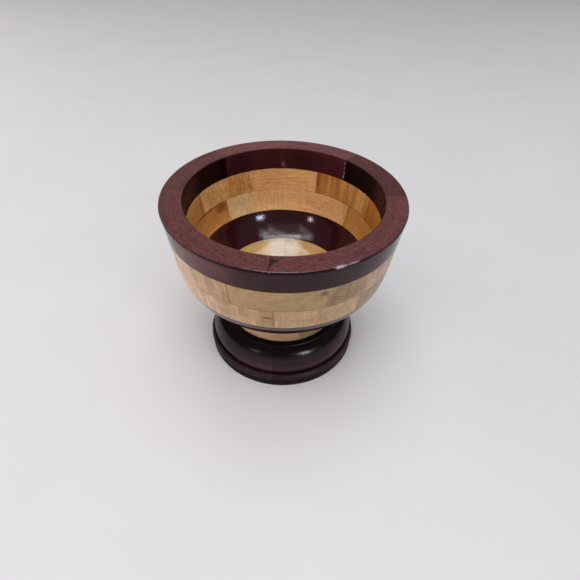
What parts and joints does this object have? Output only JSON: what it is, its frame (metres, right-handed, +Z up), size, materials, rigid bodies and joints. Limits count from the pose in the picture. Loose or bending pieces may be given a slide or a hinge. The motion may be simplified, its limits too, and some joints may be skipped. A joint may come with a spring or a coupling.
{
  "type": "segmented pedestal bowl",
  "caption": "Turned wooden bowl on a moulded pedestal foot, glued up from rings of mitred boards in a dark purple and a pale wood, with a thick flat rim and a dished floor.",
  "frame": {"origin": "on the table, under the middle of the foot", "axes": "+Z up along the turning axis, +X to the right and +Y away from someone facing the front"},
  "size_m": [0.188, 0.1877, 0.153],
  "materials": {
    "purpleheart": "gloss lacquer",
    "maple": "gloss lacquer"
  },
  "bodies": {
    "root": {"foot_segment_1": "purpleheart", "foot_segment_2": "purpleheart", "foot_segment_3": "purpleheart", "foot_segment_4": "purpleheart", "foot_segment_5": "purpleheart", "foot_segment_6": "purpleheart", "foot_segment_7": "purpleheart", "foot_segment_8": "purpleheart", "neck_segment_1": "maple", "neck_segment_2": "maple", "neck_segment_3": "maple", "neck_segment_4": "maple", "neck_segment_5": "maple", "neck_segment_6": "maple", "neck_segment_7": "maple", "neck_segment_8": "maple", "floor_segment_1": "maple", "floor_segment_2": "maple", "floor_segment_3": "maple", "floor_segment_4": "maple", "floor_segment_5": "maple", "floor_segment_6": "maple", "floor_segment_7": "maple", "floor_segment_8": "maple", "dish_ring_segment_1": "purpleheart", "dish_ring_segment_2": "purpleheart", "dish_ring_segment_3": "purpleheart", "dish_ring_segment_4": "purpleheart", "dish_ring_segment_5": "purpleheart", "dish_ring_segment_6": "purpleheart", "dish_ring_segment_7": "purpleheart", "dish_ring_segment_8": "purpleheart", "lower_band_segment_1": "maple", "lower_band_segment_2": "maple", "lower_band_segment_3": "maple", "lower_band_segment_4": "maple", "lower_band_segment_5": "maple", "lower_band_segment_6": "maple", "lower_band_segment_7": "maple", "lower_band_segment_8": "maple", "upper_band_segment_1": "maple", "upper_band_segment_2": "maple", "upper_band_segment_3": "maple", "upper_band_segment_4": "maple", "upper_band_segment_5": "maple", "upper_band_segment_6": "maple", "upper_band_segment_7": "maple", "upper_band_segment_8": "maple", "rim_segment_1": "purpleheart", "rim_segment_2": "purpleheart", "rim_segment_3": "purpleheart", "rim_segment_4": "purpleheart", "rim_segment_5": "purpleheart", "rim_segment_6": "purpleheart", "rim_segment_7": "purpleheart", "rim_segment_8": "purpleheart"}
  },
  "joints": []
}
